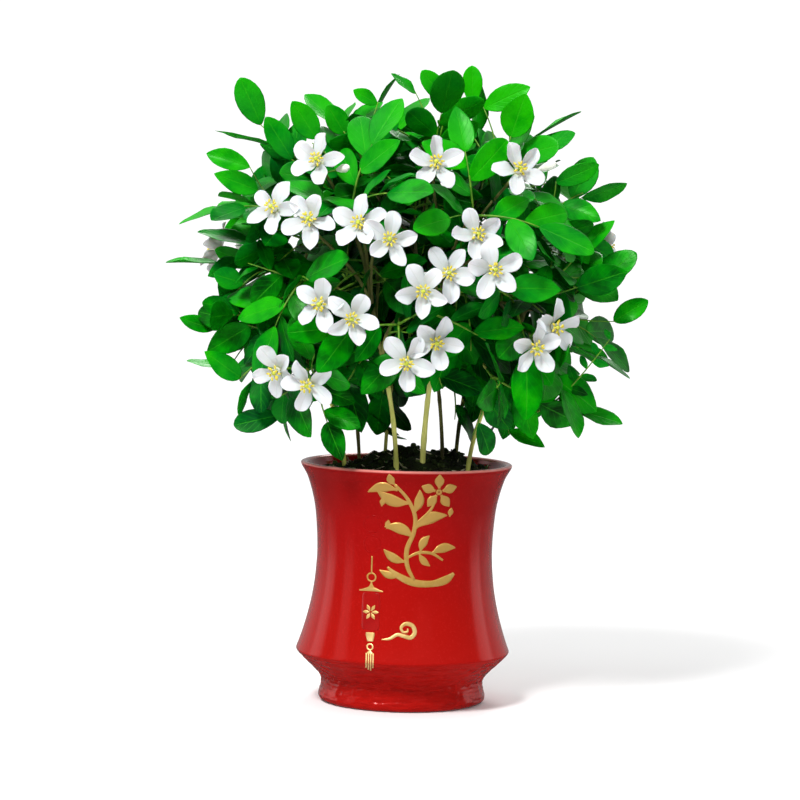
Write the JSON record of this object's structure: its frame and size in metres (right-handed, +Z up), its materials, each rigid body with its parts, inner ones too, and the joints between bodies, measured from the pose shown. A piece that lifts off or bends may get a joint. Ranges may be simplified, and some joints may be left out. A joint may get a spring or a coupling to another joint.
{
  "type": "potted orange jasmine",
  "caption": "Small evergreen bush of thin stems, feather-shaped leaves and white star flowers, growing in a waisted, red-glazed ceramic pot.",
  "frame": {"origin": "centre of the pot's flat foot, on the surface that it stands on", "axes": "+Z up along the pot's axis; -Y is the pot's front; +X is to the right, seen from the front"},
  "size_m": [0.3449, 0.2936, 0.4578],
  "materials": {
    "red_glaze": "high gloss deep red glaze",
    "soil": "matte, crumbly potting soil",
    "bark": "matte young bark",
    "leaf": "glossy evergreen leaf",
    "petal": "soft satin petal"
  },
  "bodies": {
    "root": {"pot": "red_glaze", "soil_bed": "soil", "stem_1": "bark", "stem_2": "bark", "stem_3": "bark", "stem_4": "bark", "stem_5": "bark", "stem_6": "bark", "stem_7": "bark", "stem_8": "bark", "blossom_1": "petal", "blossom_2": "petal", "blossom_3": "petal", "blossom_4": "petal", "blossom_5": "petal", "blossom_6": "petal", "blossom_7": "petal", "blossom_8": "petal", "blossom_9": "petal", "blossom_10": "petal", "blossom_11": "petal", "blossom_12": "petal", "blossom_13": "petal", "blossom_14": "petal", "blossom_15": "petal", "blossom_16": "petal", "leafy_shoot_1": "leaf", "leafy_shoot_2": "leaf", "leafy_shoot_3": "leaf", "leafy_shoot_4": "leaf", "leafy_shoot_5": "leaf", "leafy_shoot_6": "leaf", "leafy_shoot_7": "leaf", "leafy_shoot_8": "leaf", "leafy_shoot_9": "leaf", "leafy_shoot_10": "leaf", "leafy_shoot_11": "leaf", "leafy_shoot_12": "leaf", "leafy_shoot_13": "leaf", "leafy_shoot_14": "leaf", "leafy_shoot_15": "leaf", "leafy_shoot_16": "leaf", "leafy_shoot_17": "leaf", "leafy_shoot_18": "leaf", "leafy_shoot_19": "leaf", "leafy_shoot_20": "leaf", "leafy_shoot_21": "leaf", "leafy_shoot_22": "leaf", "leafy_shoot_23": "leaf", "leafy_shoot_24": "leaf", "leafy_shoot_25": "leaf", "leafy_shoot_26": "leaf", "leafy_shoot_27": "leaf", "leafy_shoot_28": "leaf", "leafy_shoot_29": "leaf", "leafy_shoot_30": "leaf", "leafy_shoot_31": "leaf", "leafy_shoot_32": "leaf", "leafy_shoot_33": "leaf"}
  },
  "joints": []
}
